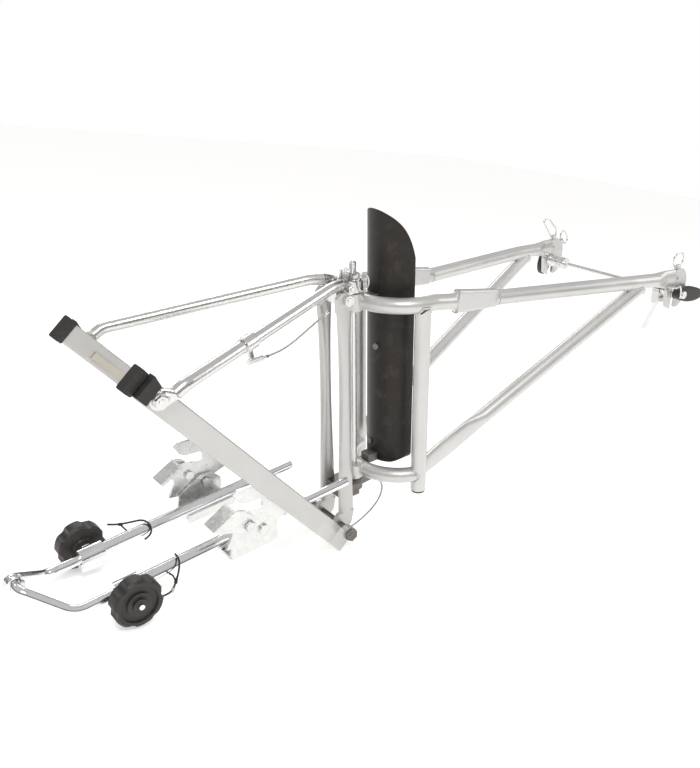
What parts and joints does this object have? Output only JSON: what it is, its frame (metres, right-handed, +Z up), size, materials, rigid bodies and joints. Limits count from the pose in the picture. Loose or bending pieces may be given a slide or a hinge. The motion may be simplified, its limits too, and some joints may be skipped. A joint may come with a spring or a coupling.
{
  "type": "bicycle towing coupling",
  "caption": "Two-arm bicycle towing coupling with a steering pin, mudguard, hinged drawbar and clamped telescopic wheel cradle.",
  "frame": {"origin": "on the floor under the middle of the coupling as it rests on a clamp knob and the feet of its flat bars", "axes": "+X towards the towing bicycle's axle, +Z up, +Y to the far side"},
  "size_m": [0.7896, 0.2178, 0.345],
  "materials": {
    "tow_tube": "satin",
    "pale_steel": "satin",
    "bright_steel": "satin",
    "dark_steel": "satin",
    "chrome_tube": "polished",
    "zinc_sheet": "satin",
    "guard_plastic": "satin",
    "black_plastic": "satin",
    "black_rubber": "matte",
    "tan_strip": "satin",
    "wire_rope": "satin",
    "black_cord": "matte"
  },
  "bodies": {
    "tow_frame": {"upper_yoke": "tow_tube", "lower_yoke": "tow_tube", "arm_near": "tow_tube", "arm_far": "tow_tube", "strut_near": "tow_tube", "strut_far": "tow_tube", "diagonal_near": "tow_tube", "diagonal_far": "tow_tube", "dropout_near": "tow_tube", "dropout_far": "tow_tube", "strut_plugs": "black_plastic", "mudguard": "guard_plastic", "mudguard_fixings": "dark_steel", "skewer": "bright_steel", "cam_housing": "bright_steel", "keeper_near": "bright_steel"},
    "quick_release": {"cam_lever": "bright_steel"},
    "adjusting_nut": {"axle_nut": "bright_steel"},
    "lock_near": {"lock_lever_near": "black_plastic"},
    "lock_far": {"lock_lever_far": "black_plastic"},
    "clip_near": {"clip_near": "bright_steel"},
    "clip_far": {"clip_far": "bright_steel"},
    "clip_far_second": {"clip_far_second": "bright_steel"},
    "drawbar": {"head_lug": "bright_steel", "foot_lug": "dark_steel", "steering_pin": "bright_steel", "pin_hardware": "bright_steel", "hinge_axle": "dark_steel", "head_bolt": "bright_steel", "foot_wire": "wire_rope", "leg_near": "pale_steel", "leg_far": "pale_steel", "bar_near": "pale_steel", "bar_far": "pale_steel", "bar_caps": "black_plastic", "bow_bolts": "bright_steel", "bumpers": "black_rubber", "reflectors": "tan_strip", "hub_jaw_near": "zinc_sheet", "hub_jaw_far": "zinc_sheet", "jaw_bolts": "bright_steel", "bow_near": "bright_steel", "bow_far": "bright_steel", "bow_clamp": "bright_steel", "lanyard": "wire_rope"},
    "ring": {"pull_ring": "bright_steel"},
    "latch_near": {"hub_latch_near": "zinc_sheet"},
    "latch_far": {"hub_latch_far": "zinc_sheet"},
    "tube_frame": {"outer_tube_near": "chrome_tube", "outer_tube_far": "chrome_tube", "tube_saddle_near": "zinc_sheet", "tube_saddle_far": "zinc_sheet", "collar_near": "chrome_tube", "collar_far": "chrome_tube", "tether_near": "black_cord", "tether_far": "black_cord"},
    "slider": {"u_rod": "chrome_tube"},
    "apex": {"roller": "chrome_tube"},
    "knob_near": {"knob_near": "black_plastic"},
    "knob_far": {"knob_far": "black_plastic"}
  },
  "joints": [
    {"name": "steering", "type": "hinge", "parent": "tow_frame", "child": "drawbar", "pos_m": [-0.04794, 0, 0.16036], "axis": [-0.1459, 0, 0.9893], "range_deg": [-45, 45]},
    {"name": "tube_tilt", "type": "hinge", "parent": "drawbar", "child": "tube_frame", "pos_m": [-0.18327, 0, 0.06358], "axis": [0, 1, 0], "range_deg": [-15, 9]},
    {"name": "rod_slide", "type": "slide", "parent": "tube_frame", "child": "slider", "axis": [-0.974, 0, -0.2265], "range_m": [-0.008, 0.07]},
    {"name": "apex_roller", "type": "hinge", "parent": "slider", "child": "apex", "pos_m": [-0.38657, 0, 0.03359], "axis": [0, 1, 0], "continuous": true},
    {"name": "knob_turn_near", "type": "hinge", "parent": "tube_frame", "child": "knob_near", "pos_m": [-0.30382, -0.06, 0.02422], "axis": [0, 1, 0], "range_deg": [-360, 360]},
    {"name": "knob_turn_far", "type": "hinge", "parent": "tube_frame", "child": "knob_far", "pos_m": [-0.30968, 0.06, 0.02286], "axis": [0, 1, 0], "range_deg": [-360, 360]},
    {"name": "latch_press_near", "type": "hinge", "parent": "drawbar", "child": "latch_near", "pos_m": [-0.20078, -0.058, 0.07262], "axis": [0, -1, 0], "range_deg": [0, 22], "stiffness_Nm_per_rad": 0.4},
    {"name": "latch_press_far", "type": "hinge", "parent": "drawbar", "child": "latch_far", "pos_m": [-0.20078, 0.058, 0.07262], "axis": [0, -1, 0], "range_deg": [0, 22], "stiffness_Nm_per_rad": 0.4},
    {"name": "ring_swing", "type": "hinge", "parent": "drawbar", "child": "ring", "pos_m": [-0.06633, 0, 0.28501], "axis": [0, 1, 0], "range_deg": [-120, 5]},
    {"name": "quick_release_throw", "type": "hinge", "parent": "tow_frame", "child": "quick_release", "pos_m": [0.35067, -0.0748, 0.25392], "axis": [0.9893, 0, 0.1459], "range_deg": [-60, 40]},
    {"name": "nut_turn", "type": "hinge", "parent": "tow_frame", "child": "adjusting_nut", "pos_m": [0.34883, 0.072, 0.26638], "axis": [0, 1, 0], "continuous": true},
    {"name": "lock_turn_near", "type": "hinge", "parent": "tow_frame", "child": "lock_near", "pos_m": [0.34883, -0.102, 0.26638], "axis": [0, 1, 0], "range_deg": [0, 85]},
    {"name": "lock_turn_far", "type": "hinge", "parent": "tow_frame", "child": "lock_far", "pos_m": [0.34883, 0.102, 0.26638], "axis": [0, 1, 0], "range_deg": [-115, 30]},
    {"name": "clip_swing_near", "type": "hinge", "parent": "tow_frame", "child": "clip_near", "pos_m": [0.3463, -0.093, 0.29725], "axis": [0.9893, 0, 0.1459], "range_deg": [-60, 60]},
    {"name": "clip_swing_far", "type": "hinge", "parent": "tow_frame", "child": "clip_far", "pos_m": [0.36601, 0.093, 0.29176], "axis": [0.687, 0, -0.7267], "range_deg": [-60, 60]},
    {"name": "clip_swing_far_second", "type": "hinge", "parent": "tow_frame", "child": "clip_far_second", "pos_m": [0.34729, 0.093, 0.29739], "axis": [0.9893, 0, 0.1459], "range_deg": [-60, 60]}
  ]
}
